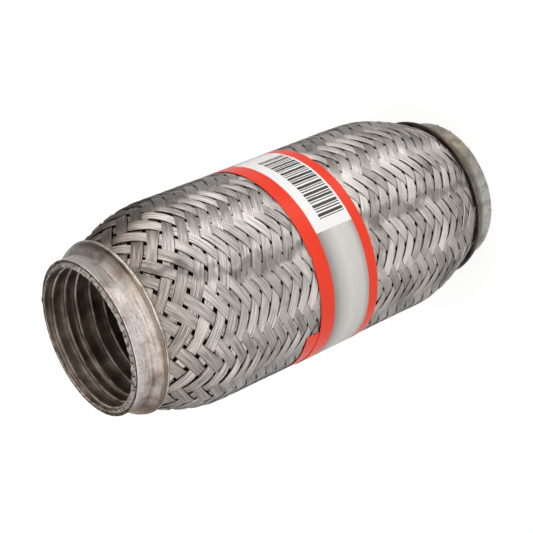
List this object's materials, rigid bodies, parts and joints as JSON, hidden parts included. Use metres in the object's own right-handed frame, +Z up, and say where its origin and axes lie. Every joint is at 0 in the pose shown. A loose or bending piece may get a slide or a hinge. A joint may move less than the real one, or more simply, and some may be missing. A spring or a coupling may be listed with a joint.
{
  "type": "exhaust flex pipe",
  "caption": "Braided exhaust flex pipe: pressed steel collars at both ends, woven wire braid over bellows and an interlocked liner, label band round the middle.",
  "frame": {"origin": "centre of the lower collar's end face, where the pipe stands", "axes": "+Z up along the pipe's axis, -Y towards the side with the label's printed panel edge"},
  "size_m": [0.0676, 0.0672, 0.15],
  "materials": {
    "collar_steel": "pressed stainless sheet, satin, brown heat tint and fine scratches",
    "braid_wire": "bright drawn stainless wire, flat strands",
    "bellows_steel": "thin formed stainless sheet",
    "liner_steel": "dark oiled strip with bright folded edges",
    "label_film": "printed film, red borders, silver middle, white panel"
  },
  "bodies": {
    "lower_end": {"lower_collar": "collar_steel", "bellows": "bellows_steel", "interlock_liner": "liner_steel"},
    "flex_core": {"wire_braid": "braid_wire", "label_band": "label_film"},
    "upper_end": {"upper_collar": "collar_steel"}
  },
  "joints": [
    {"name": "lower_bend", "type": "hinge", "parent": "lower_end", "child": "flex_core", "pos_m": [0, 0, 0.035], "axis": [0, 1, 0], "range_deg": [-8, 8], "stiffness_Nm_per_rad": 20, "deforming": ["wire_braid", "bellows", "interlock_liner"]},
    {"name": "upper_bend", "type": "hinge", "parent": "flex_core", "child": "upper_end", "pos_m": [0, 0, 0.115], "axis": [0, 1, 0], "range_deg": [-8, 8], "stiffness_Nm_per_rad": 20, "deforming": ["wire_braid", "bellows", "interlock_liner"]}
  ]
}
